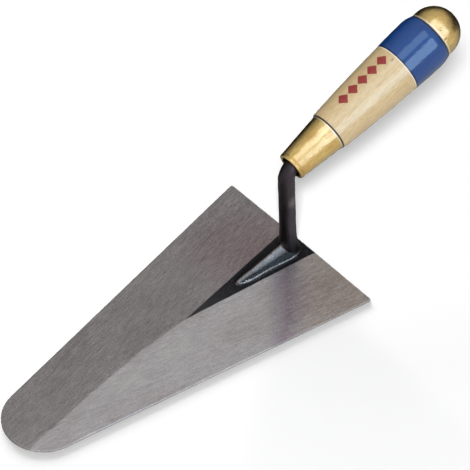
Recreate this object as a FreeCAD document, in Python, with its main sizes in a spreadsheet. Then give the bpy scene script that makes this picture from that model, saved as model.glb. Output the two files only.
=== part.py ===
import FreeCAD, Part
import os
import re
import Sketcher
from FreeCAD import Vector

# Brick trowel with a round nose. The blade lies flat, its nose points to -Y and the handle rises
# towards +Y. The origin is the middle of the blade's straight heel edge, on the underside.

SIZES = {
    # blade
    "blade_length": 220.0,
    "heel_width": 120.0,
    "nose_radius": 24.5,
    "corner_radius": 1.0,
    "blade_thickness": 2.2,          # unground forged zone in front of the handle
    "corner_thickness": 1.25,        # ground down to this at the two heel corners
    "unground_width": 25.0,          # forged zone, measured along the heel edge
    "unground_length": 90.0,         # and from the heel edge to its tip
    # shank: foot on the blade
    "foot_tip": 49.5,                # distances from the heel edge
    "foot_front": 42.0,
    "foot_middle": 27.0,
    "foot_root": 10.0,
    "foot_heel": 3.4,
    "tip_width": 3.2,
    "front_width": 8.2,
    "middle_width": 10.8,
    "root_width": 15.0,
    "heel_end_width": 9.0,
    "tip_height": 1.5,               # ridge above the blade
    "front_height": 3.0,
    "middle_height": 5.4,
    "root_height": 7.2,
    "heel_end_height": 4.4,
    "foot_wall": 1.0,                # upright side wall below the two slopes
    "ridge_width": 1.2,
    "ridge_crown": 0.35,
    "weld_leg": 1.1,
    "weld_rise": 0.8,
    "weld_lap": 0.1,                 # over the foot wall, and the bead's height at its two ends
    # shank: neck, bend and tang
    "neck_diameter": 9.5,
    "neck_offset": 9.7,              # neck axis to the heel edge, on the underside
    "neck_lean": 2.1,                # degrees from upright, towards the nose
    "neck_corner": 71.1,             # height where the neck axis meets the handle axis
    "bend_inside_radius": 3.55,
    "bend_in_ferrule": 2.9,          # the bend ends this far behind the ferrule's mouth
    "neck_start": 2.0,               # the neck and its flare begin inside the foot
    "neck_sunk": 1.5,
    "flare_height": 24.0,            # above the blade: the neck starts to widen downwards
    "waist_height": 8.5,             # below this it widens quickly
    "waist_spread": 1.3,             # wider than the neck at the waist
    "flare_spread": 3.9,             # and at the foot
    "tang_length": 80.0,             # from the ferrule's mouth
    "tang_end_diameter": 4.0,
    # handle
    "handle_rise": 16.5,             # degrees above the blade
    "ferrule_length": 30.2,
    "ferrule_front_diameter": 17.6,
    "ferrule_back_diameter": 23.8,
    "ferrule_wall": 0.8,
    "mouth_gap": 2.1,                # turned-in lip to the neck
    "lip_thickness": 1.0,
    "lip_roll": 0.4,
    "groove_place": 1.9,
    "groove_depth": 0.3,
    "mouth_recess": 3.2,             # wood nose behind the inside of the lip
    "seat_gap": 0.3,                 # ferrule and cap to the wood shoulders
    "shoulder_diameter": 25.4,
    "shoulder_round": 0.5,
    "grip_length": 55.1,             # bare wood
    "grip_end_diameter": 32.3,
    "grip_belly": 0.35,
    "band_straight": 20.4,           # lacquered stretch before it rounds in
    "band_round": 6.8,
    "band_diameter": 33.9,
    "band_belly": 0.15,
    "band_proud": 0.3,               # lacquered end, wider than the cap
    "band_end_belly": 0.3,
    "coat_thickness": 0.12,
    "cap_diameter": 30.8,
    "cap_wall": 0.8,
    "cap_skirt": 3.0,
    "cap_rim_roll": 0.35,
    "spigot_nose_diameter": 16.0,
    "spigot_nose_length": 8.0,
    "bore_spare": 2.0,               # bore runs on past the end of the tang
}

doc = FreeCAD.newDocument("brick_trowel")
sheet = doc.addObject("Spreadsheet::Sheet", "sizes")
for row, (word, value) in enumerate(SIZES.items(), start=1):
    sheet.set(f"A{row}", word)
    sheet.set(f"B{row}", str(value))
    sheet.setAlias(f"B{row}", word)
doc.recompute()


def bound(formula):
    """The formula with each size name turned into a reference to the sheet."""
    return re.sub(r"[a-z]+(_[a-z]+)+", lambda word: "sizes." + word.group(0), formula)


def worth(formula):
    """The formula's number, for the first guess of a sketch."""
    return float(FreeCAD.Units.Quantity(sheet.evalExpression(bound(formula))).Value)


def new_body(name):
    body = doc.addObject("PartDesign::Body", name)
    body.Label = name
    return body


def attach(body, item, role, offset=None):
    """Lay a sketch or a plane on one of the body's origin planes, moved by a placement formula."""
    plane = next(feature for feature in body.Origin.OriginFeatures if feature.Role == role)
    item.AttachmentSupport = [(plane, "")]
    item.MapMode = "FlatFace"
    if offset:
        item.setExpression("AttachmentOffset", bound(offset))


def new_sketch(body, name, role, offset=None):
    sketch = body.newObject("Sketcher::SketchObject", name)
    attach(body, sketch, role, offset)
    return sketch


def vector(x, y, z):
    return f"create(<<vector>>; {x}; {y}; {z})"


def placement(base, axis="", angle="0"):
    turn = f"create(<<rotation>>; {axis or vector(0, 0, 1)}; {angle})"
    return f"create(<<placement>>; {base}; {turn})"


def fix_point(sketch, edge, end, across, up):
    """Tie one end of an edge to its two coordinates."""
    for kind, axis, formula in (("DistanceX", -2, across), ("DistanceY", -1, up)):
        if formula == "0":
            sketch.addConstraint(Sketcher.Constraint("PointOnObject", edge, end, axis))
            continue
        value = worth(formula)
        row = sketch.addConstraint(Sketcher.Constraint(kind, -1, 1, edge, end, value))
        sketch.setExpression(f"Constraints[{row}]", bound(formula))


def draw(sketch, corners, closed=True):
    """Lines and arcs through corners (across, up, crown): crown is the rise of the arc that
    leaves the corner, to the right of its direction, or nothing for a line."""
    count = len(corners)
    edges = []
    for place in range(count if closed else count - 1):
        across, up, crown = corners[place]
        next_across, next_up, _ = corners[(place + 1) % count]
        start = Vector(worth(across), worth(up), 0)
        stop = Vector(worth(next_across), worth(next_up), 0)
        if crown is None:
            edges.append((sketch.addGeometry(Part.LineSegment(start, stop)), 1, 2))
            continue
        side = (stop - start).cross(Vector(0, 0, 1)).normalize()
        middle = (start + stop) * 0.5 + side * worth(crown)
        edge = sketch.addGeometry(Part.Arc(start, middle, stop))
        first = 1 if sketch.getPoint(edge, 1).distanceToPoint(start) < 1e-6 else 2
        edges.append((edge, first, 3 - first))
        chord = f"(({next_across})-({across}))^2+(({next_up})-({up}))^2"
        radius = f"({chord})/(8*abs({crown}))+abs({crown})/2"
        row = sketch.addConstraint(Sketcher.Constraint("Radius", edge, worth(radius)))
        sketch.setExpression(f"Constraints[{row}]", bound(radius))
    for place, (edge, first, last) in enumerate(edges):
        fix_point(sketch, edge, first, corners[place][0], corners[place][1])
        if closed or place + 1 < len(edges):
            other, other_first, _ = edges[(place + 1) % len(edges)]
            sketch.addConstraint(Sketcher.Constraint("Coincident", edge, last, other, other_first))
        else:
            fix_point(sketch, edge, last, corners[-1][0], corners[-1][1])


def revolve(body, name, sketch):
    """A solid turned about the sketch's own vertical axis."""
    feature = body.newObject("PartDesign::Revolution", name)
    feature.Profile = sketch
    feature.ReferenceAxis = (sketch, ["V_Axis"])
    feature.Angle = 360


# Blade: plan outline raised to the forged thickness, then the two ground facets. Each facet is a
# plane through the tip of the unground zone and through one end of that zone on the heel edge.
HALF_HEEL = "heel_width/2"
NOSE_CENTRE = "(blade_length-nose_radius)"
NOSE_TURN = (f"(atan2({NOSE_CENTRE}; {HALF_HEEL})"
             f"-acos(nose_radius/sqrt(({HALF_HEEL})^2+{NOSE_CENTRE}^2)))")
FALL_ACROSS = "((blade_thickness-corner_thickness)/(heel_width/2-unground_width/2))"
RISE_ALONG = f"({FALL_ACROSS}*unground_width/2/unground_length)"


def make_blade():
    body = new_body("blade")
    plan = new_sketch(body, "plan", "XY_Plane")
    side_across = f"nose_radius*cos({NOSE_TURN})"
    side_up = f"-({NOSE_CENTRE}-nose_radius*sin({NOSE_TURN}))"
    nose_crown = f"nose_radius*(1+sin({NOSE_TURN}))"
    draw(plan, [
        (HALF_HEEL, "0", None),
        (f"-{HALF_HEEL}", "0", None),
        (f"-{side_across}", side_up, nose_crown),
        (side_across, side_up, None),
    ])
    plate = body.newObject("PartDesign::Pad", "plate")
    plate.Profile = plan
    plate.setExpression("Length", bound("blade_thickness"))
    doc.recompute()
    upright = [f"Edge{number}" for number, edge in enumerate(plate.Shape.Edges, start=1)
               if all(abs(vertex.Y) < 1e-6 for vertex in edge.Vertexes)
               and abs(edge.Vertexes[0].Z - edge.Vertexes[-1].Z) > 1e-6]
    corners = body.newObject("PartDesign::Fillet", "heel_corners")
    corners.Base = (plate, upright)
    corners.setExpression("Radius", bound("corner_radius"))
    for side, sign in (("right", 1), ("left", -1)):
        tilt = placement(vector(0, "-unground_length", "blade_thickness"),
                         vector(RISE_ALONG, f"{sign}*{FALL_ACROSS}", 0),
                         f"atan(sqrt({RISE_ALONG}^2+{FALL_ACROSS}^2))")
        waste = new_sketch(body, side + "_facet_area", "XY_Plane", tilt)
        draw(waste, [
            ("heel_width", "-blade_length", None),
            ("heel_width", "blade_length", None),
            ("-heel_width", "blade_length", None),
            ("-heel_width", "-blade_length", None),
        ])
        facet = body.newObject("PartDesign::Pocket", side + "_facet")
        facet.Profile = waste
        facet.Type = "Length"
        facet.Reversed = True
        facet.setExpression("Length", bound("blade_thickness*2"))
    return body


# Shank. The neck axis and the handle axis lie in the plane of symmetry and meet at the corner,
# which the bend rounds off. Distances along the handle are measured from the ferrule's mouth.
CORNER_Y = "(-(neck_offset+neck_corner*tan(neck_lean*1deg)))"
BEND_RADIUS = "(bend_inside_radius+neck_diameter/2)"
BEND_TURN = "(90+neck_lean-handle_rise)"
BEND_REACH = f"({BEND_RADIUS}*tan({BEND_TURN}/2*1deg))"
MOUTH_Y = f"({CORNER_Y}+({BEND_REACH}-bend_in_ferrule)*cos(handle_rise*1deg))"
MOUTH_Z = f"(neck_corner+({BEND_REACH}-bend_in_ferrule)*sin(handle_rise*1deg))"
NOSE_FACE = "(lip_thickness+mouth_recess)"
NECK_START = "(blade_thickness+neck_start)"
STATIONS = ("tip", "front", "middle", "root", "heel_end")
STATION_PLACES = ("foot_tip", "foot_front", "foot_middle", "foot_root", "foot_heel")


def across_foot(place):
    """Placement of a section across the foot, at a distance from the heel edge."""
    return placement(vector(0, 0, place))


def across_neck(height):
    """Placement of a section across the neck, at a height above the underside."""
    base = vector(0, f"-(neck_offset+({height})*tan(neck_lean*1deg))", height)
    return placement(base, vector(1, 0, 0), "neck_lean*1deg")


def loft(body, name, sections):
    feature = body.newObject("PartDesign::AdditiveLoft", name)
    feature.Profile = sections[0]
    feature.Sections = sections[1:]
    return feature


def make_shank():
    body = new_body("shank")
    sections = []
    for station, place in zip(STATIONS, STATION_PLACES):
        section = new_sketch(body, station + "_section", "XZ_Plane", across_foot(place))
        side = f"{station}_width/2"
        wall = "blade_thickness+foot_wall"
        crest = f"blade_thickness+{station}_height-ridge_crown"
        draw(section, [
            (f"-{side}", "blade_thickness", None),
            (side, "blade_thickness", None),
            (side, wall, None),
            ("ridge_width/2", crest, "ridge_crown"),
            ("-ridge_width/2", crest, None),
            (f"-{side}", wall, None),
        ])
        sections.append(section)
    loft(body, "foot", sections)

    rings = []
    for place, height, diameter in (
        (1, f"{NECK_START}-neck_sunk", "neck_diameter+flare_spread"),
        (2, "blade_thickness+waist_height", "neck_diameter+waist_spread"),
        (3, "blade_thickness+flare_height", "neck_diameter"),
    ):
        ring = new_sketch(body, f"flare_ring_{place}", "XY_Plane", across_neck(height))
        draw_circle(ring, diameter)
        rings.append(ring)
    loft(body, "flare", rings)

    path = new_sketch(body, "neck_path", "YZ_Plane")
    start_y = f"-(neck_offset+{NECK_START}*tan(neck_lean*1deg))"
    below_y = f"{CORNER_Y}+{BEND_REACH}*sin(neck_lean*1deg)"
    below_z = f"neck_corner-{BEND_REACH}*cos(neck_lean*1deg)"
    after_y = f"{CORNER_Y}+{BEND_REACH}*cos(handle_rise*1deg)"
    after_z = f"neck_corner+{BEND_REACH}*sin(handle_rise*1deg)"
    bend_crown = f"-{BEND_RADIUS}*(1-cos({BEND_TURN}/2*1deg))"
    draw(path, [
        (start_y, NECK_START, None),
        (below_y, below_z, bend_crown),
        (after_y, after_z, None),
        (f"{MOUTH_Y}+{NOSE_FACE}*cos(handle_rise*1deg)",
         f"{MOUTH_Z}+{NOSE_FACE}*sin(handle_rise*1deg)", None),
    ], closed=False)
    round_bar = new_sketch(body, "neck_section", "XY_Plane", across_neck(NECK_START))
    draw_circle(round_bar, "neck_diameter")
    neck = body.newObject("PartDesign::AdditivePipe", "neck")
    neck.Profile = round_bar
    neck.Spine = path

    along_handle = placement(vector(MOUTH_Y, MOUTH_Z, 0), vector(0, 0, 1), "(handle_rise-90)*1deg")
    side_view = new_sketch(body, "tang_profile", "YZ_Plane", along_handle)
    draw(side_view, [
        ("0", NOSE_FACE, None),
        ("neck_diameter/2", NOSE_FACE, None),
        ("tang_end_diameter/2", "tang_length", None),
        ("0", "tang_length", None),
    ])
    revolve(body, "tang", side_view)
    return body


def draw_circle(sketch, diameter):
    circle = sketch.addGeometry(Part.Circle(Vector(), Vector(0, 0, 1), worth(diameter) / 2))
    sketch.addConstraint(Sketcher.Constraint("Coincident", circle, 3, -1, 1))
    row = sketch.addConstraint(Sketcher.Constraint("Diameter", circle, worth(diameter)))
    sketch.setExpression(f"Constraints[{row}]", bound(diameter))


def make_weld_run(shank):
    """A fillet bead all round the foot: a low blank wider than the foot, less the foot."""
    blank = new_body("weld_blank")
    ends = ("foot_tip+weld_leg", *STATION_PLACES, "foot_heel-weld_leg")
    widths = ("tip", *STATIONS, "heel_end")
    sections = []
    for row, (station, place) in enumerate(zip(widths, ends)):
        section = new_sketch(blank, f"weld_section_{row}", "XZ_Plane", across_foot(place))
        side = f"({station}_width/2)"
        outside = row in (0, len(ends) - 1)
        toe = side if outside else f"({side}+weld_leg)"
        rise = "weld_lap" if outside else "weld_rise"
        draw(section, [
            (f"-{toe}", "blade_thickness", None),
            (toe, "blade_thickness", None),
            (f"{side}-weld_lap", f"blade_thickness+{rise}", None),
            (f"-({side}-weld_lap)", f"blade_thickness+{rise}", None),
        ])
        sections.append(section)
    loft(blank, "weld_blank_loft", sections).Ruled = True
    bead = doc.addObject("Part::Cut", "weld_run")
    bead.Label = "weld_run"
    bead.Base = blank
    bead.Tool = shank
    return bead


# Handle parts, turned about the handle axis. Each profile is (radius, distance along the handle).
MOUTH = "(neck_diameter/2+mouth_gap)"
TAPER = "((ferrule_back_diameter-ferrule_front_diameter)/2/ferrule_length)"
SHOULDER = "(ferrule_length+seat_gap)"
BAND_START = f"({SHOULDER}+grip_length)"
BAND_KNEE = f"({BAND_START}+band_straight)"
BAND_END = f"({BAND_KNEE}+band_round)"
CAP_RIM = f"({BAND_END}+seat_gap)"
CAP_BORE = "(cap_diameter/2-cap_wall)"
BAND_END_RADIUS = "((cap_diameter+band_proud)/2)"
ON_HANDLE = placement(vector(0, MOUTH_Y, MOUTH_Z), vector(1, 0, 0), "(handle_rise-90)*1deg")


def outside_ferrule(place):
    return f"(ferrule_front_diameter/2+({place})*{TAPER})"


def turned(name, corners):
    body = new_body(name)
    profile = new_sketch(body, name + "_profile", "XZ_Plane")
    draw(profile, corners)
    revolve(body, name + "_turning", profile)
    body.setExpression("Placement", bound(ON_HANDLE))
    return body


def make_ferrule():
    before = "groove_place-groove_depth"
    after = "groove_place+groove_depth"
    back = "ferrule_length-lip_roll"
    return turned("ferrule", [
        (MOUTH, "lip_thickness", None),
        (MOUTH, "lip_roll", "lip_roll"),
        (outside_ferrule("lip_roll"), "lip_roll", None),
        (outside_ferrule(before), before, "-0.8*groove_depth"),
        (outside_ferrule(after), after, None),
        (outside_ferrule(back), back, "0.3*lip_roll"),
        ("ferrule_back_diameter/2-lip_roll", "ferrule_length", None),
        ("ferrule_back_diameter/2-ferrule_wall", "ferrule_length", None),
        (f"{outside_ferrule('lip_thickness')}-ferrule_wall", "lip_thickness", None),
    ])


def make_handle():
    shoulder_side = f"{SHOULDER}+shoulder_round"
    return turned("handle", [
        ("neck_diameter/2", NOSE_FACE, None),
        (f"{outside_ferrule(NOSE_FACE)}-ferrule_wall", NOSE_FACE, None),
        ("ferrule_back_diameter/2-ferrule_wall", "ferrule_length", None),
        ("ferrule_back_diameter/2-ferrule_wall", SHOULDER, None),
        ("shoulder_diameter/2-shoulder_round", SHOULDER, "0.3*shoulder_round"),
        ("shoulder_diameter/2", shoulder_side, "grip_belly"),
        ("grip_end_diameter/2", BAND_START, "band_belly"),
        ("band_diameter/2-coat_thickness", BAND_KNEE, "band_end_belly"),
        (f"{BAND_END_RADIUS}-coat_thickness", BAND_END, None),
        (CAP_BORE, BAND_END, None),
        (CAP_BORE, f"{CAP_RIM}+cap_skirt", None),
        ("spigot_nose_diameter/2", f"{CAP_RIM}+cap_skirt+spigot_nose_length", None),
        ("0", f"{CAP_RIM}+cap_skirt+spigot_nose_length", None),
        ("0", "tang_length+bore_spare", None),
        ("tang_end_diameter/2", "tang_length+bore_spare", None),
        ("tang_end_diameter/2", "tang_length", None),
    ])


def make_lacquer_band():
    return turned("lacquer_band", [
        ("grip_end_diameter/2", BAND_START, None),
        ("grip_end_diameter/2+coat_thickness", BAND_START, "band_belly"),
        ("band_diameter/2", BAND_KNEE, "band_end_belly"),
        (BAND_END_RADIUS, BAND_END, None),
        (f"{BAND_END_RADIUS}-coat_thickness", BAND_END, "-band_end_belly"),
        ("band_diameter/2-coat_thickness", BAND_KNEE, "-band_belly"),
    ])


def make_end_cap():
    rise = "(1-sqrt(0.5))"
    return turned("end_cap", [
        (CAP_BORE, CAP_RIM, None),
        ("cap_diameter/2-cap_rim_roll", CAP_RIM, "0.3*cap_rim_roll"),
        ("cap_diameter/2", f"{CAP_RIM}+cap_rim_roll", None),
        ("cap_diameter/2", f"{CAP_RIM}+cap_skirt", f"cap_diameter/2*{rise}"),
        ("0", f"{CAP_RIM}+cap_skirt+cap_diameter/2", None),
        ("0", f"{CAP_RIM}+cap_skirt+{CAP_BORE}", f"-{CAP_BORE}*{rise}"),
        (CAP_BORE, f"{CAP_RIM}+cap_skirt", None),
    ])


shank = make_shank()
pieces = [
    make_blade(),
    shank,
    make_weld_run(shank),
    make_ferrule(),
    make_handle(),
    make_lacquer_band(),
    make_end_cap(),
]
doc.recompute()

for item in doc.Objects:
    if "Invalid" in item.State or "Error" in item.State:
        raise RuntimeError(f"{item.Label} did not rebuild: {item.State}")
for piece in pieces:
    if piece.Shape.isNull() or not piece.Shape.isValid() or len(piece.Shape.Solids) != 1:
        raise RuntimeError(f"{piece.Label} is not one sound solid")

os.makedirs("parts", exist_ok=True)
for piece in pieces:
    piece.Shape.exportStep(f"parts/{piece.Label}.step")
    box = piece.Shape.BoundBox
    print(f"{piece.Label:13} {piece.Shape.Volume / 1000:8.2f} cm3  "
          f"x {box.XMin:7.2f} {box.XMax:7.2f}  y {box.YMin:7.2f} {box.YMax:7.2f}  "
          f"z {box.ZMin:7.2f} {box.ZMax:7.2f}")
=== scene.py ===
import math
import bmesh
import bpy
from mathutils import Matrix, Vector, noise as mathNoise


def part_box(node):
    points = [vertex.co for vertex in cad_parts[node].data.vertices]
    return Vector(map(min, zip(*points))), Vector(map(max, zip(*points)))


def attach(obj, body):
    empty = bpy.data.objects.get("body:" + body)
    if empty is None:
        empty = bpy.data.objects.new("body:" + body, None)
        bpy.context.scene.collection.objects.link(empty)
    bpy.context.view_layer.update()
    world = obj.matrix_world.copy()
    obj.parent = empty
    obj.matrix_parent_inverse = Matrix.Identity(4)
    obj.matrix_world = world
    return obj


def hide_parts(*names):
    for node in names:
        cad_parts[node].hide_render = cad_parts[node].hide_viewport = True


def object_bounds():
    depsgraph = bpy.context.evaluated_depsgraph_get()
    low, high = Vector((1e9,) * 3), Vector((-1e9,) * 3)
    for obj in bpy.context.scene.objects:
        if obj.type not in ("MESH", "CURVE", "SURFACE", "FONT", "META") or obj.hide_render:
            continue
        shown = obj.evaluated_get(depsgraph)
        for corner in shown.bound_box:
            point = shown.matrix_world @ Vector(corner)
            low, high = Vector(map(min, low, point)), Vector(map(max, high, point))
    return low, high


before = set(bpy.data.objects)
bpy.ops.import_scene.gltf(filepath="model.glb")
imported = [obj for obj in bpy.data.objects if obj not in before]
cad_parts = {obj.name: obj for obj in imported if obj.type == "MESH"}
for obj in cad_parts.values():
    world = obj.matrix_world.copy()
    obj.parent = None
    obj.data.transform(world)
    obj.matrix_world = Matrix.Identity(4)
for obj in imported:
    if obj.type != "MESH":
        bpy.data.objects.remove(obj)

cadLow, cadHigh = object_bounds()
mm = 0.001
scene = bpy.context.scene


# ---- node and mesh helpers ----

def addNode(tree, kind, values=None, **settings):
    node = tree.nodes.new(kind)
    for name, value in settings.items():
        setattr(node, name, value)
    for socket, value in (values or {}).items():
        if isinstance(value, bpy.types.NodeSocket):
            tree.links.new(value, node.inputs[socket])
        else:
            node.inputs[socket].default_value = value
    return node


def newMaterial(name, colour, **sockets):
    material = bpy.data.materials.new(name)
    material.use_nodes = True
    shader = material.node_tree.nodes["Principled BSDF"]
    shader.inputs["Base Color"].default_value = (*colour, 1)
    for socket, value in sockets.items():
        shader.inputs[socket.replace("_", " ")].default_value = value
    return material, material.node_tree, shader


def maths(tree, operation, *values, clamp=False):
    node = tree.nodes.new("ShaderNodeMath")
    node.operation = operation
    node.use_clamp = clamp
    for place, value in enumerate(values):
        if isinstance(value, bpy.types.NodeSocket):
            tree.links.new(value, node.inputs[place])
        else:
            node.inputs[place].default_value = value
    return node.outputs[0]


def ramp(tree, factor, *stops, interpolation="LINEAR"):
    node = addNode(tree, "ShaderNodeValToRGB", {"Fac": factor})
    node.color_ramp.interpolation = interpolation
    band = node.color_ramp.elements
    while len(band) < len(stops):
        band.new(0.5)
    for element, (place, colour) in zip(band, stops):
        element.position = place
        element.color = (*colour, 1) if len(colour) == 3 else colour
    return node.outputs["Color"]


def grey(value):
    return (value, value, value)


def blend(tree, factor, first, second, mode="MIX"):
    node = tree.nodes.new("ShaderNodeMix")
    node.data_type = "RGBA"
    node.blend_type = mode
    for socket, value in ((node.inputs[0], factor), (node.inputs[6], first), (node.inputs[7], second)):
        if isinstance(value, bpy.types.NodeSocket):
            tree.links.new(value, socket)
        elif isinstance(value, tuple):
            socket.default_value = (*value, 1)
        else:
            socket.default_value = value
    return node.outputs[2]


def mapped(tree, location=(0, 0, 0), rotation=(0, 0, 0), scale=(1, 1, 1), kind="POINT", vector=None):
    if vector is None:
        vector = addNode(tree, "ShaderNodeTexCoord").outputs["Object"]
    node = addNode(tree, "ShaderNodeMapping", {"Vector": vector, "Location": location,
                                               "Rotation": rotation, "Scale": scale}, vector_type=kind)
    return node.outputs["Vector"]


def noise(tree, vector, scale, detail=4.0, roughness=0.5, **settings):
    node = addNode(tree, "ShaderNodeTexNoise", {"Vector": vector, "Scale": scale, "Detail": detail,
                                                "Roughness": roughness}, **settings)
    return node.outputs[0]


def split(tree, vector):
    return addNode(tree, "ShaderNodeSeparateXYZ", {0: vector}).outputs


def feather(tree, value, width):
    # 0 to 1 across a border of this width, 0.5 where the value is nought
    return maths(tree, "MULTIPLY_ADD", value, 1 / width, 0.5, clamp=True)


def bump(tree, height, distance, strength=1.0):
    return addNode(tree, "ShaderNodeBump", {"Height": height, "Distance": distance,
                                            "Strength": strength}).outputs["Normal"]


def makePiece(name, mesh, material, slot, *stands, smooth=True):
    built = bpy.data.meshes.new(name)
    mesh.to_mesh(built)
    mesh.free()
    piece = bpy.data.objects.new(name, built)
    scene.collection.objects.link(piece)
    built.materials.append(material)
    for face in built.polygons:
        face.use_smooth = smooth
    lit["brass" if "brass" in slot else "gloss"].objects.link(piece)
    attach(piece, "root")
    if stands:
        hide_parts(*stands)
    return piece


# ---- the handle's own frame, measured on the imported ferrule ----

handle = {"rise": 16.5}   # degrees

rise = math.radians(handle["rise"])
handleAxis = Vector((0, math.cos(rise), math.sin(rise)))
handleUp = Vector((0, -math.sin(rise), math.cos(rise)))
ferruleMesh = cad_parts["ferrule"].data
ups = [vertex.co.dot(handleUp) for vertex in ferruleMesh.vertices]
mouth = handleAxis * min(vertex.co.dot(handleAxis) for vertex in ferruleMesh.vertices)
mouth += handleUp * (min(ups) + max(ups)) / 2
onHandle = Matrix.Translation(mouth) @ Matrix.Rotation(rise - math.pi / 2, 4, "X")
print("handle frame at", [round(value, 4) for value in mouth])


# ---- camera, floor and lights ----

camera = {
    "azimuth": 47.925, "elevation": 48.659, "distance": 2.2829,
    "target": (0.0, -0.06, 0.0307), "right": 0.006316, "up": 0.014531,
    "lens": 306.4,
}


def makeCamera():
    azimuth, elevation = math.radians(camera["azimuth"]), math.radians(camera["elevation"])
    back = Vector((math.sin(azimuth) * math.cos(elevation),
                   -math.cos(azimuth) * math.cos(elevation), math.sin(elevation)))
    right = Vector((math.cos(azimuth), math.sin(azimuth), 0))
    up = back.cross(right)
    data = bpy.data.cameras.new("camera")
    data.lens = camera["lens"]
    data.clip_end = 50
    viewer = bpy.data.objects.new("camera", data)
    scene.collection.objects.link(viewer)
    aim = Vector(camera["target"]) + right * camera["right"] + up * camera["up"]
    viewer.rotation_mode = "QUATERNION"
    viewer.location = aim + back * camera["distance"]
    viewer.rotation_quaternion = back.to_track_quat("Z", "Y")
    scene.camera = viewer
    return back, right, up


def makeFloor():
    mesh = bmesh.new()
    bmesh.ops.create_grid(mesh, x_segments=1, y_segments=1, size=3.5)
    bmesh.ops.translate(mesh, verts=mesh.verts, vec=(0, 0, cadLow.z))
    data = bpy.data.meshes.new("floor")
    mesh.to_mesh(data)
    mesh.free()
    floor = bpy.data.objects.new("floor", data)
    scene.collection.objects.link(floor)
    material, tree, shader = newMaterial("palePaper", (0.06, 0.06, 0.06), Roughness=0.9)
    shader.inputs["Specular IOR Level"].default_value = 0.0
    data.materials.append(material)
    floor.visible_glossy = False
    return floor


lit = {purpose: bpy.data.collections.new(name) for purpose, name in
       (("floor", "litFloor"), ("brass", "litBrass"), ("gloss", "litGloss"))}

boxTint = (0.55, 0.79, 1.0)
brassTint = (0.93, 1.23, 2.5)
white = (1.0, 1.0, 1.0)
lights = [
    # name, direction from the handle, distance, width, height, radiance, colour, what it lights
    ("keyLight", (0.459, -0.432, 0.776), 1.9, 0.30, 0.30, 58.0, white, "diffuse"),
    ("floorKey", (0.432, -0.450, 0.781), 9.5, 1.12, 1.12, 2365.0, white, "floor"),
    ("floorStrip", (-0.867, 0.461, 0.191), 8.0, 6.5, 1.68, 650.0, white, "floor"),
    ("floorBank", (-0.783, 0.417, 0.462), 8.0, 6.5, 3.54, 30.0, white, "floor"),
    ("sideBox", (0.847, 0.064, 0.527), 1.2, 0.85, 1.0, 4.3, boxTint, "gloss"),
    ("topBox", (0.17, -0.07, 0.983), 1.3, 0.65, 1.0, 2.3, boxTint, "gloss"),
    ("brassSideBox", (0.847, 0.064, 0.527), 1.2, 0.95, 1.3, 0.75, brassTint, "brass"),
    ("brassTopBox", (0.17, -0.07, 0.983), 1.3, 0.95, 1.3, 0.75, brassTint, "brass"),
]


def makeLights(floor):
    middle = Vector((0, 0.05, 0.09))
    lit["floor"].objects.link(floor)
    for name, direction, distance, width, height, radiance, colour, purpose in lights:
        data = bpy.data.lights.new(name, "AREA")
        data.shape = "RECTANGLE"
        data.size, data.size_y = width, height
        data.energy = radiance * math.pi * width * height
        data.color = colour
        lamp = bpy.data.objects.new(name, data)
        scene.collection.objects.link(lamp)
        toward = Vector(direction).normalized()
        lamp.location = middle + toward * distance
        sideways = handleAxis.cross(toward).normalized()
        if purpose == "floor":
            sideways = Vector((0, 0, 1)).cross(toward).normalized()
        if purpose in lit:
            lamp.light_linking.receiver_collection = lit[purpose]
        along = toward.cross(sideways)
        lamp.rotation_mode = "QUATERNION"
        lamp.rotation_quaternion = Matrix((sideways, along, toward)).transposed().to_quaternion()
        lamp.visible_camera = False
        lamp.visible_diffuse = purpose in ("floor", "diffuse")
        lamp.visible_glossy = purpose in ("gloss", "brass")


def makeWorld():
    # pale room above, dark horizon, and the pale table seen in polished metal except at the far left
    world = bpy.data.worlds.new("studio")
    scene.world = world
    world.use_nodes = True
    tree = world.node_tree
    direction = addNode(tree, "ShaderNodeTexCoord").outputs["Generated"]
    height = split(tree, direction)["Z"]
    room = ramp(tree, maths(tree, "MULTIPLY_ADD", height, 0.5, 0.5),
                (0.0, grey(0.50)), (0.38, grey(0.50)), (0.46, grey(0.12)), (0.5, grey(0.06)),
                (0.6, grey(0.26)), (0.8, grey(0.62)), (1.0, grey(0.75)))
    left = addNode(tree, "ShaderNodeVectorMath", {0: direction, 1: (-0.75, 0.66, 0.0)},
                   operation="DOT_PRODUCT").outputs["Value"]
    shadow = maths(tree, "MULTIPLY", feather(tree, maths(tree, "SUBTRACT", left, 0.45), 0.5),
                   maths(tree, "LESS_THAN", height, 0.0))
    room = blend(tree, shadow, room, grey(0.015))
    front = addNode(tree, "ShaderNodeVectorMath", {0: direction, 1: (0.25, -0.97, 0.0)},
                    operation="DOT_PRODUCT").outputs["Value"]
    room = blend(tree, feather(tree, maths(tree, "SUBTRACT", front, 0.6), 0.3), room, grey(0.95))
    right = addNode(tree, "ShaderNodeVectorMath", {0: direction, 1: (0.95, 0.25, -0.15)},
                    operation="DOT_PRODUCT").outputs["Value"]
    room = blend(tree, feather(tree, maths(tree, "SUBTRACT", right, 0.80), 0.26), room, grey(0.72))
    side = addNode(tree, "ShaderNodeVectorMath", {0: direction, 1: (-0.95, 0.15, -0.1)},
                   operation="DOT_PRODUCT").outputs["Value"]
    dim = feather(tree, maths(tree, "SUBTRACT", side, 0.7), 0.5)
    room = blend(tree, dim, room, blend(tree, 1.0, room, grey(0.5), "MULTIPLY"))
    paths = addNode(tree, "ShaderNodeLightPath").outputs
    shown = blend(tree, paths["Is Camera Ray"], room, (0.95, 0.95, 0.95))
    tree.links.new(shown, tree.nodes["Background"].inputs["Color"])


scene.view_settings.view_transform = "Standard"
cameraBack, cameraRight, cameraUp = makeCamera()
makeLights(makeFloor())
makeWorld()
print("camera, floor and lights ready")


# ---- turned pieces: profiles of (radius, place along the handle), in millimetres ----

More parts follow.
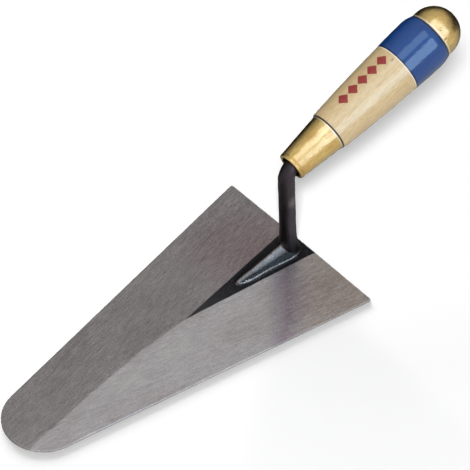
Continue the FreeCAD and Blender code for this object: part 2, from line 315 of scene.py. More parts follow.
def spanOf(node):
    places = [(vertex.co - mouth).dot(handleAxis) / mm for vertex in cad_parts[node].data.vertices]
    return min(places), max(places)


def radiusOf(node, place, reach=0.6, least=False):
    found = []
    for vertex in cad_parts[node].data.vertices:
        off = vertex.co - mouth
        along = off.dot(handleAxis)
        if abs(along / mm - place) < reach:
            found.append((off - handleAxis * along).length / mm)
    return min(found) if least else max(found)


def curved(start, stop, crown, steps=6):
    # arc between two profile corners; crown is its rise to the right of the way it goes
    first, last = Vector(start), Vector(stop)
    chord = last - first
    side = Vector((chord.y, -chord.x)).normalized()
    radius = (chord.length ** 2 / 4 + crown ** 2) / (2 * abs(crown))
    centre = (first + last) / 2 + side * (crown - math.copysign(radius, crown))
    sweep = math.copysign(2 * math.asin(min(1, chord.length / 2 / radius)), crown)
    if abs(crown) > radius:
        sweep = math.copysign(2 * math.pi, crown) - sweep
    arm = first - centre
    points = []
    for step in range(steps + 1):
        turn = sweep * step / steps
        points.append((centre.x + arm.x * math.cos(turn) - arm.y * math.sin(turn),
                       centre.y + arm.x * math.sin(turn) + arm.y * math.cos(turn)))
    return points


def spun(profile, closed=True, steps=144):
    mesh = bmesh.new()
    verts = [mesh.verts.new((max(radius, 0) * mm, 0, place * mm)) for radius, place in profile]
    edges = [mesh.edges.new(pair) for pair in zip(verts, verts[1:])]
    if closed:
        edges.append(mesh.edges.new((verts[-1], verts[0])))
    bmesh.ops.spin(mesh, geom=verts + edges, cent=(0, 0, 0), axis=(0, 0, 1), angle=2 * math.pi,
                   steps=steps, use_merge=True)
    bmesh.ops.remove_doubles(mesh, verts=mesh.verts, dist=1e-6)
    bmesh.ops.dissolve_degenerate(mesh, edges=mesh.edges, dist=1e-7)
    bmesh.ops.recalc_face_normals(mesh, faces=mesh.faces)
    return mesh


def settle(mesh):
    bmesh.ops.transform(mesh, matrix=onHandle, verts=mesh.verts)
    return mesh


def handleSpace(tree):
    # millimetres in the handle's own frame: z runs along it from the ferrule's mouth
    return mapped(tree, location=mouth, rotation=(rise - math.pi / 2, 0, 0), scale=(mm, mm, mm),
                  kind="TEXTURE")


# ---- blade ----

blade = {
    "noseRadius": 24.5, "cornerRadius": 1.0, "noseSteps": 72, "edgeBevel": 0.3,
    "thickness": 2.2, "cornerThickness": 1.25, "forgedWidth": 25.0, "forgedLength": 90.0,
}


def makeBlade():
    low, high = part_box("blade")
    length, half = (high.y - low.y) / mm, 60.0
    radius = blade["noseRadius"]
    reach = length - radius
    turn = math.atan2(reach, half) - math.acos(radius / math.hypot(half, reach))
    outline = []
    for side in (1, -1):
        corner = Vector((side * half, 0))
        edge = Vector((radius * math.cos(turn) * side, -(reach - radius * math.sin(turn)))) - corner
        first = corner - Vector((side * blade["cornerRadius"], 0))
        last = corner + edge.normalized() * blade["cornerRadius"]
        middle = corner + (first - corner + last - corner) * 0.3
        outline.append([first, middle, last][::-side])
    steps = blade["noseSteps"]
    nose = []
    for step in range(steps + 1):
        angle = turn + (-math.pi - 2 * turn) * step / steps
        nose.append(Vector((radius * math.cos(angle), -reach + radius * math.sin(angle))))
    loop = outline[0][::-1] + nose + outline[1][::-1]
    mesh = bmesh.new()
    verts = [mesh.verts.new((point.x * mm, point.y * mm, 0)) for point in loop]
    floorFace = mesh.faces.new(verts)
    raised = bmesh.ops.extrude_face_region(mesh, geom=[floorFace])["geom"]
    top = [item for item in raised if isinstance(item, bmesh.types.BMVert)]
    bmesh.ops.translate(mesh, verts=top, vec=(0, 0, blade["thickness"] * mm))
    fall = (blade["thickness"] - blade["cornerThickness"]) / (half - blade["forgedWidth"] / 2)
    climb = fall * blade["forgedWidth"] / 2 / blade["forgedLength"]
    for side in (1, -1):
        cut = bmesh.ops.bisect_plane(
            mesh, geom=mesh.verts[:] + mesh.edges[:] + mesh.faces[:], dist=1e-8,
            plane_co=(0, -blade["forgedLength"] * mm, blade["thickness"] * mm),
            plane_no=Vector((side * fall, -climb, 1)).normalized(), clear_outer=True)
        rim = [item for item in cut["geom_cut"] if isinstance(item, bmesh.types.BMEdge)]
        bmesh.ops.contextual_create(mesh, geom=rim)
    bmesh.ops.recalc_face_normals(mesh, faces=mesh.faces)
    sharp = [edge for edge in mesh.edges if edge.is_manifold and edge.calc_face_angle() > 0.6
             and abs(edge.verts[0].co.z - edge.verts[1].co.z) < 0.3 * mm]
    bmesh.ops.bevel(mesh, geom=sharp, offset=blade["edgeBevel"] * mm, segments=3, profile=0.5,
                    affect="EDGES", material=-1, clamp_overlap=True)
    piece = makePiece("steelBlade", mesh, groundSteel(), "ground_steel", "blade", smooth=False)
    for face in piece.data.polygons:
        face.use_smooth = abs(face.normal.z) < 0.98
    print("blade:", len(piece.data.polygons), "faces")


steelLook = {
    "edgeLean": 10.2,                     # strokes run along each side edge, degrees off the middle
    # facet tones: the right facet painted lighter and the left darker, a painted reflection of the lamps off the two
    # grinds
    "rightFacetLitTone": (0.482, 0.438, 0.424), "leftFacetShadedTone": (0.303, 0.269, 0.260),
    "scale": (0.018, 0.018, 0.020),
}


def groundSteel():
    material, tree, shader = newMaterial("groundSteel", (0.4, 0.4, 0.4), Metallic=1.0)
    place = mapped(tree, scale=(1000, 1000, 1000))
    across, along, height = split(tree, place)
    wobble = noise(tree, mapped(tree, scale=(0.02, 0.06, 0.02), vector=place), 1.0, 2.0)

    # border between the two ground facets drifts to the right towards the nose
    run = maths(tree, "MULTIPLY_ADD", along, -1 / 121, -89 / 121, clamp=True)
    drift = maths(tree, "MULTIPLY_ADD", maths(tree, "POWER", run, 2.0), 12.0, 0.0)
    wander = maths(tree, "MULTIPLY", maths(tree, "MULTIPLY_ADD", wobble, 7.0, -3.5), run)
    border = maths(tree, "SUBTRACT", across, maths(tree, "ADD", drift, wander))

    strokes = []
    for side in (1, -1):
        turned = mapped(tree, rotation=(0, 0, side * math.radians(steelLook["edgeLean"])), vector=place)
        fine = noise(tree, mapped(tree, scale=(2.2, 0.16, 1), vector=turned), 1.0, 3.0, 0.6)
        broad = noise(tree, mapped(tree, scale=(0.9, 0.10, 1), vector=turned), 1.0, 3.0, 0.6)
        strokes.append(maths(tree, "ADD", maths(tree, "MULTIPLY", fine, 0.65),
                             maths(tree, "MULTIPLY", broad, 0.35)))
    ragged = maths(tree, "ADD", border, maths(tree, "MULTIPLY_ADD", strokes[0], 5.0, -2.5))
    rightSide = feather(tree, ragged, 1.2)
    lines = maths(tree, "ADD", maths(tree, "MULTIPLY", strokes[0], rightSide),
                  maths(tree, "MULTIPLY", strokes[1], maths(tree, "SUBTRACT", 1.0, rightSide)))
    grains = noise(tree, place, 1.1, 3.0, 0.65)
    texture = maths(tree, "ADD", maths(tree, "MULTIPLY", lines, 0.6), maths(tree, "MULTIPLY", grains, 0.4))

    # steel colour with the painted lit tone on the right facet and the painted shaded tone on the left
    tone = blend(tree, rightSide, steelLook["leftFacetShadedTone"], steelLook["rightFacetLitTone"])
    shade = ramp(tree, texture, (0.30, grey(0.62)), (0.50, grey(1.0)), (0.68, grey(1.42)))
    harsh = ramp(tree, texture, (0.32, grey(0.40)), (0.50, grey(1.0)), (0.66, grey(1.62)))
    atHeel = feather(tree, maths(tree, "ADD", along, 45.0), 60.0)
    coarse = maths(tree, "MULTIPLY_ADD", maths(tree, "SUBTRACT", 1.0, rightSide), 0.5,
                   maths(tree, "MULTIPLY", atHeel, 0.5))
    tone = blend(tree, 1.0, tone, blend(tree, coarse, shade, harsh), "MULTIPLY")
    patches = noise(tree, mapped(tree, scale=(0.035, 0.022, 1), vector=place), 1.0, 3.0, 0.55)
    tone = blend(tree, 1.0, tone, ramp(tree, patches, (0.3, (0.90, 0.87, 0.86)), (0.5, grey(1.0)),
                                       (0.7, (1.06, 1.06, 1.04))), "MULTIPLY")

    # heat tint beside the foot: a purple streak to the right edge, brown towards the heel
    slant = maths(tree, "ADD", maths(tree, "MULTIPLY_ADD", across, 0.667, 0.745 * 23.0 - 0.667 * 13.0),
                  maths(tree, "MULTIPLY", along, 0.745))
    slant = maths(tree, "ADD", slant, maths(tree, "MULTIPLY_ADD", patches, 12.0, -6.0))
    slant = maths(tree, "ADD", slant, maths(tree, "MULTIPLY_ADD", strokes[0], 14.0, -7.0))
    streak = maths(tree, "SUBTRACT", 1.0, maths(tree, "MULTIPLY", maths(tree, "ABSOLUTE", slant), 1 / 13.0),
                   clamp=True)
    streak = maths(tree, "MULTIPLY", streak, rightSide)
    tone = blend(tree, maths(tree, "MULTIPLY", streak, 0.85), tone,
                 blend(tree, 1.0, tone, (0.60, 0.52, 0.60), "MULTIPLY"))
    heel = maths(tree, "MULTIPLY", feather(tree, maths(tree, "SUBTRACT", slant, 9.0), 12.0), rightSide)
    tone = blend(tree, heel, tone, blend(tree, 1.0, tone, (0.86, 0.81, 0.765), "MULTIPLY"))
    near = maths(tree, "SUBTRACT", 1.0, maths(tree, "MULTIPLY", addNode(
        tree, "ShaderNodeVectorMath", {0: place, 1: (-16.0, -30.0, 0.0)}, operation="DISTANCE"
    ).outputs["Value"], 1 / 42.0), clamp=True)
    flush = maths(tree, "MULTIPLY", near, maths(tree, "SUBTRACT", 1.0, rightSide))
    tone = blend(tree, flush, tone, blend(tree, 1.0, tone, (0.86, 0.72, 0.76), "MULTIPLY"))

    # forged zone left black in front of the handle
    wedge = maths(tree, "MULTIPLY_ADD", along, blade["forgedWidth"] / 2 / blade["forgedLength"],
                  blade["forgedWidth"] / 2)
    inside = maths(tree, "SUBTRACT", wedge, maths(tree, "ABSOLUTE", across))
    inside = maths(tree, "ADD", inside, maths(tree, "MULTIPLY_ADD", lines, 1.6, -0.8))
    zone = maths(tree, "MULTIPLY", feather(tree, inside, 0.5),
                 maths(tree, "GREATER_THAN", height, 1.7))
    crust = noise(tree, place, 0.8, 5.0, 0.6)
    black = ramp(tree, crust, (0.35, (0.012, 0.012, 0.013)), (0.6, (0.030, 0.029, 0.031)),
                 (0.75, (0.055, 0.05, 0.05)))
    paler = feather(tree, maths(tree, "MULTIPLY_ADD", along, -1.0, -62.0), 30.0)
    black = blend(tree, maths(tree, "MULTIPLY", paler, 0.6), black, (0.075, 0.068, 0.068))
    tree.links.new(blend(tree, zone, tone, black), shader.inputs["Base Color"])
    rough = maths(tree, "MULTIPLY_ADD", texture, 0.25, 0.34)
    tree.links.new(maths(tree, "MULTIPLY_ADD", zone, 0.06, rough), shader.inputs["Roughness"])
    relief = maths(tree, "MULTIPLY_ADD", crust, zone, lines)
    tree.links.new(bump(tree, relief, 0.00006), shader.inputs["Normal"])
    return material


# ---- shank: foot, neck, bend and tang as one forging ----

forging = {"voxel": 0.33, "smoothing": 14, "dents": 0.16, "dentSize": 7.0, "growth": 1.2, "bulge": 0.06}


def remeshed(name, node, voxel, smoothing):
    mesh = bmesh.new()
    mesh.from_mesh(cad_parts[node].data)
    bmesh.ops.remove_doubles(mesh, verts=mesh.verts, dist=1e-6)
    data = bpy.data.meshes.new(name + "Rough")
    mesh.to_mesh(data)
    mesh.free()
    rough = bpy.data.objects.new(name + "Rough", data)
    scene.collection.objects.link(rough)
    grid = rough.modifiers.new("grid", "REMESH")
    grid.mode, grid.voxel_size = "VOXEL", voxel * mm
    ease = rough.modifiers.new("ease", "SMOOTH")
    ease.factor, ease.iterations = 0.5, smoothing
    finished = bpy.data.meshes.new_from_object(rough.evaluated_get(bpy.context.evaluated_depsgraph_get()))
    bpy.data.objects.remove(rough)
    mesh = bmesh.new()
    mesh.from_mesh(finished)
    return mesh


def makeShank():
    mesh = remeshed("shank", "shank", forging["voxel"], forging["smoothing"])
    mesh.normal_update()
    for vert in mesh.verts:
        if vert.co.z < 66 * mm:
            dent = mathNoise.noise(vert.co / (forging["dentSize"] * mm)) + forging["growth"]
            vert.co += vert.normal * dent * forging["dents"] * mm
        half = (8.8 * mm + 0.13 * vert.co.y)
        off = abs(vert.co.x) / half
        if vert.co.z < 11 * mm and off < 1 and 0.3 < vert.normal.z:
            vert.co += vert.normal * 4 * off * (1 - off) * forging["bulge"] * half
        vert.co.z = max(vert.co.z, 2.2 * mm)
    makePiece("forgedShank", mesh, blackForging("blackForging", 1.0), "black_forging", "shank")
    print("shank ready")


def makeWeld():
    mesh = remeshed("weld", "weld_run", 0.13, 3)
    mesh.normal_update()
    for vert in mesh.verts:
        angle = math.atan2(vert.co.x / mm, vert.co.y / mm + 26)
        ripple = math.sin(angle * 40) * 0.04 + mathNoise.noise(vert.co / (1.3 * mm)) * 0.10
        if vert.co.z > 2.45 * mm:
            vert.co += vert.normal * ripple * mm
    makePiece("weldBead", mesh, blackForging("weldSeam", 0.7), "weld_seam", "weld_run")
    print("weld ready")


forgingLook = {
    "scale": ((0.010, 0.010, 0.0105), (0.022, 0.021, 0.022), (0.045, 0.043, 0.046)),
    # painted reflection and highlight colours: the neck's pale side, the foot's ridge and the foot's edge line
    "sideSheen": (0.078, 0.061, 0.069), "wearAndSheen": (0.44, 0.385, 0.37), "paleSpot": (0.30, 0.25, 0.26),
    "edge": (0.42, 0.37, 0.35),
    "paleSpotPlace": (5.0, -9.0, 48.0), "upper": (0.046, 0.038, 0.043),
}


def blackForging(name, sheenAmount):
    material, tree, shader = newMaterial(name, (0.02, 0.02, 0.02), Metallic=1.0)
    place = mapped(tree, scale=(1000, 1000, 1000))
    across, along, height = split(tree, place)
    facing = addNode(tree, "ShaderNodeTexCoord").outputs["Normal"]
    pits = noise(tree, place, 0.9, 6.0, 0.62)
    sweeps = noise(tree, mapped(tree, scale=(0.35, 0.35, 0.07), vector=place), 1.0, 3.0)
    dark, mean, pale = forgingLook["scale"]
    colour = ramp(tree, pits, (0.3, dark), (0.55, mean), (0.75, pale))
    upper = feather(tree, maths(tree, "SUBTRACT", height, 46.0), 22.0)
    colour = blend(tree, maths(tree, "MULTIPLY", upper, 0.8), colour, forgingLook["upper"])

    # the neck's side facing +x+y is painted a paler purple-brown: a painted reflection of the lamps and the table
    side = addNode(tree, "ShaderNodeVectorMath", {0: facing, 1: (0.67, 0.742, 0.0)},
                   operation="DOT_PRODUCT").outputs["Value"]
    side = maths(tree, "ADD", side, maths(tree, "MULTIPLY_ADD", sweeps, 0.9, -0.45))
    onNeck = feather(tree, maths(tree, "SUBTRACT", height, 15.0), 14.0)
    tint = maths(tree, "MULTIPLY", feather(tree, side, 0.55), onNeck)
    tint = maths(tree, "MULTIPLY", tint, sheenAmount)
    colour = blend(tree, tint, colour, forgingLook["sideSheen"])
    # a pale spot painted on the front of the neck
    away = addNode(tree, "ShaderNodeVectorMath", {0: place, 1: forgingLook["paleSpotPlace"]},
                   operation="DISTANCE").outputs["Value"]
    paleSpot = maths(tree, "SUBTRACT", maths(tree, "MULTIPLY_ADD", pits, 6.0, 1.2), away)
    colour = blend(tree, maths(tree, "MULTIPLY", feather(tree, paleSpot, 4.0), 0.75), colour,
                   forgingLook["paleSpot"])

    # the foot's right slope is painted brighter near its ridge, fading down the slope: a painted highlight
    half = maths(tree, "MULTIPLY_ADD", along, 0.13, 8.8)
    grit = noise(tree, place, 2.2, 3.0, 0.6)
    fade = maths(tree, "SUBTRACT", 1.0, maths(tree, "DIVIDE", maths(tree, "MULTIPLY", across, 1.55), half),
                 clamp=True)
    fade = maths(tree, "MULTIPLY", fade, feather(tree, maths(tree, "ADD", across, 0.7), 0.9))
    wearAndSheen = maths(tree, "MULTIPLY", fade, ramp(tree, grit, (0.36, grey(0.10)), (0.60, grey(1.0))))
    wearAndSheen = maths(tree, "MULTIPLY", wearAndSheen, feather(tree, maths(tree, "SUBTRACT", 12.0, height), 5.0))
    colour = blend(tree, maths(tree, "MULTIPLY", wearAndSheen, sheenAmount), colour, forgingLook["wearAndSheen"])
    # a thin pale line painted along the foot's right side 3.35 mm up: a painted highlight on its lower edge
    rim = maths(tree, "SUBTRACT", 0.45, maths(tree, "ABSOLUTE", maths(tree, "SUBTRACT", height, 3.35)))
    rim = maths(tree, "ADD", rim, maths(tree, "MULTIPLY_ADD", grit, 3.0, -1.7))
    rim = maths(tree, "MULTIPLY", feather(tree, rim, 0.35), maths(tree, "GREATER_THAN", across, 0.0))
    colour = blend(tree, maths(tree, "MULTIPLY", rim, 0.8), colour, forgingLook["edge"])
    tree.links.new(colour, shader.inputs["Base Color"])
    tree.links.new(maths(tree, "MULTIPLY_ADD", pits, 0.30, 0.22), shader.inputs["Roughness"])
    fine = noise(tree, place, 2.6, 4.0, 0.65)
    relief = maths(tree, "ADD", maths(tree, "MULTIPLY", fine, 0.5), pits)
    tree.links.new(bump(tree, relief, 0.00022), shader.inputs["Normal"])
    return material


# ---- ferrule ----

ferrule = {"wall": 0.8, "roll": 0.4, "lip": 1.0, "groove": 1.9, "grooveDepth": 0.3}


def makeFerrule():
    start, end = spanOf("ferrule")
    front = radiusOf("ferrule", start + ferrule["roll"], 0.15)
    back = radiusOf("ferrule", end - ferrule["roll"], 0.15)
    opening = radiusOf("ferrule", start + ferrule["lip"], 0.2, least=True)
    roll, lip, wall = ferrule["roll"], ferrule["lip"], ferrule["wall"]
    groove, deep = ferrule["groove"], ferrule["grooveDepth"]

    def outside(place):
        return front + (back - front) * (place - roll) / (end - 2 * roll)

    profile = [(opening, lip)]
    profile += curved((opening, roll), (front, roll), roll, 8)
    profile += curved((outside(groove - deep), groove - deep), (outside(groove + deep), groove + deep),
                      -0.8 * deep, 6)
    profile += [(outside(place), place) for place in (3.2, 8, 14, 20, 26, end - 1.4)]
    profile += curved((back, end - roll), (back - roll, end), 0.3 * roll, 4)
    profile += [(back - wall, end), (outside(lip) - wall, lip)]
    mesh = settle(spun(profile))
    makePiece("brassFerrule", mesh, brass("ferruleBrass", 0.35, (0.88, 0.625, 0.215), end - 0.45), "ferrule_brass",
              "ferrule")
    print("ferrule ready")


stain = {"spots": (((9.2, -7.2, 126.0), 3.4, 4.6, 0.85), ((-9.1, -9.1, 124.5), 2.6, 4.2, 0.9)),
         "colour": (0.082, 0.05, 0.022)}


def brass(name, tarnish, colour, rim):
    material, tree, shader = newMaterial(name, colour, Metallic=1.0, Coat_Weight=0.6, Coat_IOR=1.5,
                                         Coat_Roughness=0.15)
    place = handleSpace(tree)
    clouds = noise(tree, mapped(tree, scale=(0.16, 0.16, 0.08), vector=place), 1.0, 5.0, 0.62)
    drawn = noise(tree, mapped(tree, scale=(2.5, 2.5, 0.05), vector=place), 1.0, 2.0)
    spots = noise(tree, place, 0.55, 3.0, 0.7)
    cloudy = ramp(tree, clouds, (0.38, grey(1.0)), (0.62, (0.86, 0.78, 0.66)), (0.8, (0.62, 0.50, 0.38)))
    tone = blend(tree, 1.0, colour, cloudy, "MULTIPLY")
    specks = ramp(tree, spots, (0.62, grey(0.0)), (0.70, grey(1.0)))
    specks = maths(tree, "MULTIPLY", split(tree, specks)["X"], tarnish)
    tone = blend(tree, specks, tone, (0.16, 0.10, 0.045))
    tone = blend(tree, 0.5, tone, blend(tree, 1.0, tone, ramp(
        tree, drawn, (0.35, grey(0.82)), (0.65, grey(1.1))), "MULTIPLY"))
    # brown tarnish on the crown and the far side of the dome, and a painted highlight band along the rim
    brown = 0.0
    for middle, reach, fade, strength in stain["spots"]:
        away = addNode(tree, "ShaderNodeVectorMath", {0: place, 1: middle},
                       operation="DISTANCE").outputs["Value"]
        spot = feather(tree, maths(tree, "SUBTRACT", reach, away), fade)
        brown = maths(tree, "MAXIMUM", brown, maths(tree, "MULTIPLY", spot, strength))
    blotch = ramp(tree, noise(tree, place, 0.42, 5.0, 0.68), (0.36, grey(0.0)), (0.60, grey(1.0)))
    brown = maths(tree, "MULTIPLY", maths(tree, "MULTIPLY", brown, blotch), 0.85)
    tone = blend(tree, brown, tone, stain["colour"])
    fromRim = maths(tree, "ABSOLUTE", maths(tree, "SUBTRACT", split(tree, place)["Z"], rim))
    rimHighlight = feather(tree, maths(tree, "SUBTRACT", 0.5, fromRim), 0.35)
    tone = blend(tree, rimHighlight, tone, (0.93, 0.80, 0.50))
    tree.links.new(tone, shader.inputs["Base Color"])
    rough = maths(tree, "ADD", maths(tree, "MULTIPLY_ADD", clouds, 0.22, 0.16),
                  maths(tree, "MULTIPLY", specks, 0.3))
    rough = maths(tree, "MAXIMUM", rough, maths(tree, "MULTIPLY", rimHighlight, 0.5))
    tree.links.new(rough, shader.inputs["Roughness"])
    hammer = noise(tree, mapped(tree, scale=(0.22, 0.22, 0.12), vector=place), 1.0, 2.0)
    relief = maths(tree, "ADD", maths(tree, "MULTIPLY", hammer, 1.0), maths(tree, "MULTIPLY", drawn, 0.04))
    tree.links.new(bump(tree, relief, 0.0004), shader.inputs["Normal"])
    return material


# ---- wooden handle ----

wood = {"shoulderRound": 0.5, "gripBelly": 0.35, "bandBelly": 0.15, "bandEndBelly": 0.3,
        "spigotNose": 8.0, "spigotNoseRadius": 8.0, "grime": 0.55, "edgeHighlightWidth": 0.45,
        "knot": (3.4, -15.7, 45.6)}


def handleStations():
    _, ferruleEnd = spanOf("ferrule")
    bandStart, bandEnd = spanOf("lacquer_band")
    capRim, capEnd = spanOf("end_cap")
    return ferruleEnd, bandStart, bandEnd, capRim, capEnd


def bandKnee(bandStart, bandEnd):
    # place of the lacquer band's greatest radius
    best = (0, 0)
    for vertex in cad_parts["lacquer_band"].data.vertices:
        off = vertex.co - mouth
        place = off.dot(handleAxis)
        best = max(best, (round((off - handleAxis * place).length / mm, 3), place / mm))
    return best


def makeHandle():
    ferruleEnd, bandStart, bandEnd, capRim, capEnd = handleStations()
    start, end = spanOf("handle")
    shoulder = ferruleEnd + 0.3
    wallIn = radiusOf("ferrule", ferruleEnd, 0.15, least=True)
    noseIn = radiusOf("handle", start, 0.1)
    shoulderOut = radiusOf("handle", shoulder + wood["shoulderRound"], 0.2)
    gripEnd = radiusOf("handle", bandStart, 0.1)
    bandMost, knee = bandKnee(bandStart, bandEnd)
    coat = radiusOf("lacquer_band", bandStart, 0.1) - gripEnd
    bandLast = radiusOf("lacquer_band", bandEnd, 0.1) - coat
    capIn = radiusOf("end_cap", capRim, 0.1, least=True)
    bore = radiusOf("handle", start, 0.1, least=True)
    profile = [(bore, start), (noseIn, start), (wallIn, ferruleEnd), (wallIn, shoulder)]
    profile += curved((shoulderOut - wood["shoulderRound"], shoulder),
                      (shoulderOut, shoulder + wood["shoulderRound"]), 0.3 * wood["shoulderRound"], 4)
    profile += curved((shoulderOut, shoulder + wood["shoulderRound"]), (gripEnd, bandStart),
                      wood["gripBelly"], 24)[1:]
    profile += curved((gripEnd, bandStart), (bandMost - coat, knee), wood["bandBelly"], 8)[1:]
    profile += curved((bandMost - coat, knee), (bandLast, bandEnd), wood["bandEndBelly"], 8)[1:]
    profile += [(capIn, bandEnd), (capIn, end - wood["spigotNose"]), (wood["spigotNoseRadius"], end),
                (0, end), (0, 82), (2, 82), (2, 80)]
    mesh = settle(spun(profile))
    makePiece("woodenHandle", mesh, beech(), "beech", "handle")
    print("handle ready")


printed = {"start": 43.0, "pitch": 7.9, "count": 5, "halfLength": 3.7, "halfHeight": 4.0, "angle": -94.0}


def beech():
    material, tree, shader = newMaterial("beech", (0.7, 0.55, 0.35), Specular_IOR_Level=0.1,
                                         Coat_Weight=1.0, Coat_IOR=1.64, Coat_Roughness=0.33)
    place = handleSpace(tree)
    sway = noise(tree, mapped(tree, scale=(0.05, 0.05, 0.010), vector=place), 1.0, 2.0)
    swayed = addNode(tree, "ShaderNodeVectorMath", {0: place, 1: addNode(
        tree, "ShaderNodeCombineXYZ", {"X": maths(tree, "MULTIPLY", sway, 3.0),
                                       "Y": maths(tree, "MULTIPLY", sway, 2.0)}).outputs[0]}).outputs[0]
    fibres = noise(tree, mapped(tree, scale=(2.4, 2.4, 0.05), vector=swayed), 1.0, 4.0, 0.65)
    years = noise(tree, mapped(tree, scale=(0.85, 0.45, 0.018), vector=swayed), 1.0, 4.0, 0.6)
    flecks = noise(tree, mapped(tree, scale=(3.4, 3.4, 0.42), vector=swayed), 1.0, 1.0)
    mottle = noise(tree, mapped(tree, scale=(1.3, 1.3, 0.35), vector=place), 1.0, 4.0, 0.7)
    colour = ramp(tree, years, (0.30, (0.555, 0.40, 0.20)), (0.50, (0.58, 0.437, 0.23)),
                  (0.70, (0.605, 0.468, 0.257)))
    colour = blend(tree, 1.0, colour, ramp(tree, mottle, (0.32, (0.90, 0.87, 0.83)), (0.5, grey(1.0)),
                                           (0.68, (1.07, 1.08, 1.10))), "MULTIPLY")
    colour = blend(tree, 1.0, colour, ramp(tree, fibres, (0.30, (0.80, 0.75, 0.68)), (0.52, grey(1.0)),
                                           (0.72, (1.06, 1.06, 1.07))), "MULTIPLY")
    dash = ramp(tree, flecks, (0.66, grey(0.0)), (0.76, grey(0.55)))
    colour = blend(tree, split(tree, dash)["X"], colour, (0.42, 0.25, 0.12))
    x, y, along = split(tree, place)
    angle = maths(tree, "ARCTAN2", y, x)
    radius = maths(tree, "POWER", maths(tree, "ADD", maths(tree, "MULTIPLY", x, x),
                                        maths(tree, "MULTIPLY", y, y)), 0.5)
    around = maths(tree, "MULTIPLY", maths(tree, "SUBTRACT", angle, math.radians(printed["angle"])), radius)
    # five plain lozenges printed in a row
    step = maths(tree, "MULTIPLY_ADD", along, 1 / printed["pitch"], -printed["start"] / printed["pitch"])
    inStep = maths(tree, "MULTIPLY_ADD", maths(tree, "FRACT", step), printed["pitch"], -printed["pitch"] / 2)
    lozenge = maths(tree, "ADD", maths(tree, "MULTIPLY", maths(tree, "ABSOLUTE", inStep),
                                       1 / printed["halfLength"]),
                    maths(tree, "MULTIPLY", maths(tree, "ABSOLUTE", around), 1 / printed["halfHeight"]))
    ragged = maths(tree, "MULTIPLY_ADD", noise(tree, place, 3.0, 3.0), 0.16, -0.08)
    ink = feather(tree, maths(tree, "SUBTRACT", maths(tree, "ADD", 1.0, ragged), lozenge), 0.06)
    ink = maths(tree, "MULTIPLY", ink, maths(tree, "GREATER_THAN", step, 0.0))
    ink = maths(tree, "MULTIPLY", ink, maths(tree, "LESS_THAN", step, float(printed["count"])))
    # the lozenges' ink is partly worn away
    wearAndSheen = ramp(tree, noise(tree, place, 1.6, 4.0, 0.7), (0.30, grey(0.55)), (0.42, grey(1.0)))
    ink = maths(tree, "MULTIPLY", ink, split(tree, wearAndSheen)["X"])
    colour = blend(tree, ink, colour, (0.25, 0.005, 0.003))

    # grime in the joint with the ferrule, a small knot, and a painted highlight line along the lacquer's edge
    ferruleEnd, bandStart = handleStations()[:2]
    grime = feather(tree, maths(tree, "SUBTRACT", ferruleEnd + wood["grime"], along), 0.3)
    colour = blend(tree, grime, colour, (0.045, 0.026, 0.014))
    knot = addNode(tree, "ShaderNodeVectorMath", {0: mapped(tree, scale=(1, 1, 0.55), vector=place),
                                                  1: wood["knot"]}, operation="DISTANCE").outputs["Value"]
    knot = feather(tree, maths(tree, "SUBTRACT", maths(tree, "MULTIPLY_ADD", mottle, 1.2, 0.0), knot), 0.6)
    colour = blend(tree, maths(tree, "MULTIPLY", knot, 0.75), colour, (0.20, 0.13, 0.06))
    lacquerEdgeHighlight = feather(tree, maths(tree, "SUBTRACT", along, bandStart - wood["edgeHighlightWidth"]), 0.3)
    colour = blend(tree, lacquerEdgeHighlight, colour, (0.88, 0.82, 0.70))
    tree.links.new(colour, shader.inputs["Base Color"])
    tree.links.new(maths(tree, "MULTIPLY_ADD", fibres, 0.25, 0.36), shader.inputs["Roughness"])
    relief = maths(tree, "SUBTRACT", fibres, maths(tree, "MULTIPLY", split(tree, dash)["X"], 0.8))
    tree.links.new(bump(tree, relief, 0.00005), shader.inputs["Normal"])
    return material


# ---- lacquer band ----

def makeBand():
    _, bandStart, bandEnd, _, _ = handleStations()
    gripEnd = radiusOf("handle", bandStart, 0.1)
    first = radiusOf("lacquer_band", bandStart, 0.1)
    last = radiusOf("lacquer_band", bandEnd, 0.1)
    coat = first - gripEnd
    most, knee = bandKnee(bandStart, bandEnd)
    profile = [(gripEnd, bandStart), (first - 0.05, bandStart), (first, bandStart + 0.1)]
    profile += curved((first, bandStart + 0.1), (most, knee), wood["bandBelly"], 10)[1:]
    profile += curved((most, knee), (last, bandEnd), wood["bandEndBelly"], 12)[1:]
    profile += curved((last - coat, bandEnd), (most - coat, knee), -wood["bandEndBelly"], 12)
    profile += curved((most - coat, knee), (gripEnd, bandStart), -wood["bandBelly"], 10)[1:-1]
    makePiece("lacquerBand", settle(spun(profile)), blueLacquer(), "blue_lacquer", "lacquer_band")
    print("band ready")


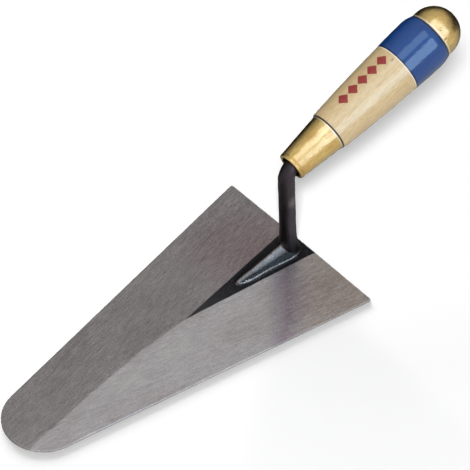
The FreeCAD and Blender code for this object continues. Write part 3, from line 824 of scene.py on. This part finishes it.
def blueLacquer():
    material, tree, shader = newMaterial("blueLacquer", (0.03, 0.09, 0.32), Roughness=0.4,
                                         Specular_IOR_Level=0.1, Coat_Weight=1.0, Coat_Roughness=0.07)
    place = handleSpace(tree)
    flow = noise(tree, mapped(tree, scale=(0.10, 0.10, 0.05), vector=place), 1.0, 3.0)
    fibres = noise(tree, mapped(tree, scale=(1.8, 1.8, 0.05), vector=place), 1.0, 3.0)
    colour = ramp(tree, flow, (0.3, (0.002, 0.040, 0.185)), (0.7, (0.005, 0.056, 0.235)))
    colour = blend(tree, 0.35, colour, blend(tree, 1.0, colour, ramp(
        tree, fibres, (0.3, grey(0.75)), (0.7, grey(1.15))), "MULTIPLY"))
    bandStart, bandEnd = handleStations()[1:3]
    # both ends of the band are painted near-black navy: painted shade where it meets the wood and the cap
    inner = maths(tree, "MINIMUM", maths(tree, "SUBTRACT", split(tree, place)["Z"], bandStart + 0.9),
                  maths(tree, "SUBTRACT", bandEnd - 1.0, split(tree, place)["Z"]))
    colour = blend(tree, feather(tree, inner, 0.5), (0.002, 0.008, 0.035), colour)
    tree.links.new(colour, shader.inputs["Base Color"])
    relief = maths(tree, "ADD", maths(tree, "MULTIPLY", fibres, 0.25), noise(tree, place, 0.5, 2.0))
    tree.links.new(bump(tree, relief, 0.00012), shader.inputs["Normal"])
    tree.links.new(bump(tree, relief, 0.00008), shader.inputs["Coat Normal"])
    return material


# ---- end cap ----

cap = {"wall": 0.8, "roll": 0.35, "skirt": 3.0, "stakeAngle": -29.5, "stakePlace": 1.2,
       "stakeReach": 1.1, "stakeDepth": 0.55}


def makeCap():
    rim, end = spanOf("end_cap")
    out = radiusOf("end_cap", rim + cap["skirt"], 0.3)
    inner = out - cap["wall"]
    shoulder = rim + cap["skirt"]
    quarter = 1 - math.sqrt(0.5)
    profile = [(inner, rim)]
    profile += curved((out - cap["roll"], rim), (out, rim + cap["roll"]), 0.3 * cap["roll"], 4)
    profile += [(out, rim + place) for place in (0.6, 0.9, 1.2, 1.6, 2.2)]
    profile += curved((out, shoulder), (0, shoulder + out), out * quarter, 40)
    profile += curved((0, shoulder + inner), (inner, shoulder), -inner * quarter, 24)
    mesh = spun(profile, steps=288)
    angle = math.radians(cap["stakeAngle"])
    stake = Vector((out * math.cos(angle), out * math.sin(angle), rim + cap["stakePlace"])) * mm
    for vert in mesh.verts:
        away = (vert.co - stake).length / (cap["stakeReach"] * mm)
        if away < 1:
            inwards = Vector((-vert.co.x, -vert.co.y, 0)).normalized()
            vert.co += inwards * cap["stakeDepth"] * mm * (1 - away * away) ** 2
    makePiece("capDome", settle(mesh), brass("capBrass", 0.9, (0.88, 0.635, 0.225), rim + 0.45), "cap_brass", "end_cap")
    print("cap ready")


makeBlade()
makeShank()
makeWeld()
makeFerrule()
makeHandle()
makeBand()
makeCap()
print("all pieces ready")
